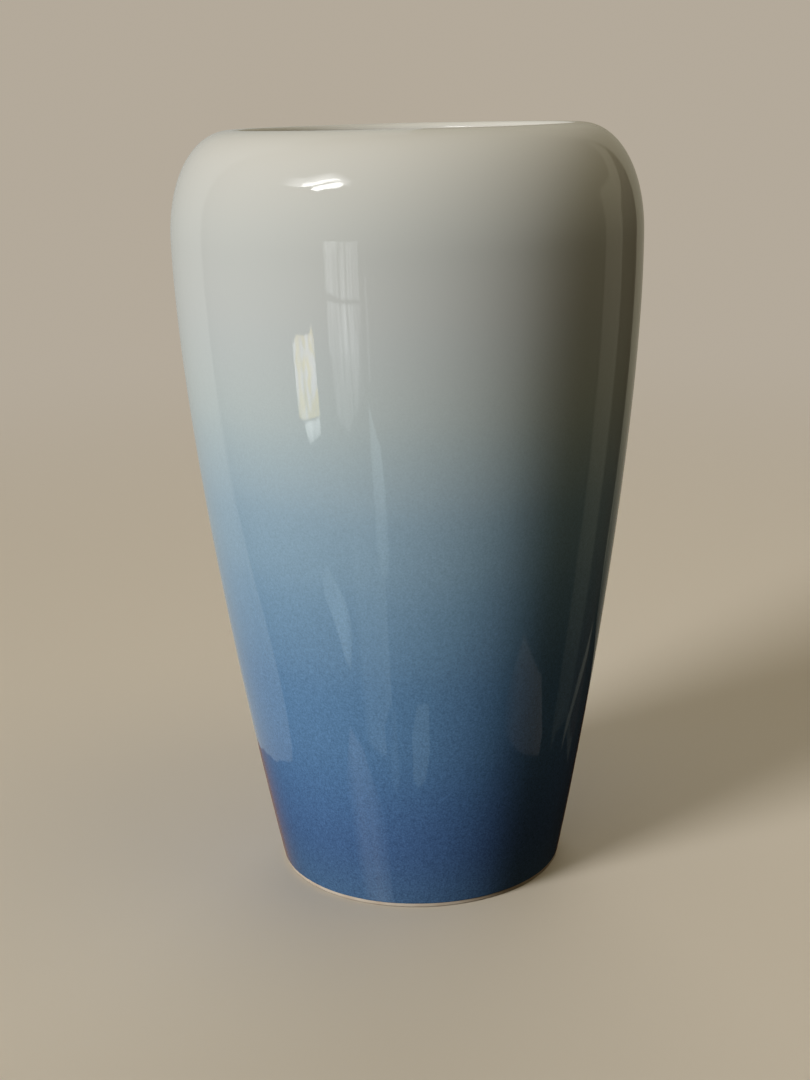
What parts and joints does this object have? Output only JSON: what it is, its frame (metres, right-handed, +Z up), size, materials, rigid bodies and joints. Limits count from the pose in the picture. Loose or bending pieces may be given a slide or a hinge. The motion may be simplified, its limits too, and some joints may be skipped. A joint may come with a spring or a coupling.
{
  "type": "porcelain vase",
  "caption": "Wide-mouthed porcelain vase with a flared wall, a rounded shoulder, a half-round lip and a bare turned foot ring, glazed from warm white at the top to deep blue at the foot.",
  "frame": {"origin": "on the vase's axis, at the level of the face that the foot ring stands on", "axes": "+Z up along the vase's axis; X and Y are level and alike, since the vase is round"},
  "size_m": [0.1646, 0.1646, 0.27],
  "materials": {
    "bare_porcelain": "unglazed fired porcelain, cream, fine and matt",
    "blue_glaze": "high-gloss glaze, warm white at the lip running down to deep mottled blue",
    "white_glaze": "glossy white liner glaze"
  },
  "bodies": {
    "root": {"porcelain_body": "bare_porcelain", "outer_glaze": "blue_glaze", "inner_glaze": "white_glaze", "base_glaze": "white_glaze"}
  },
  "joints": []
}
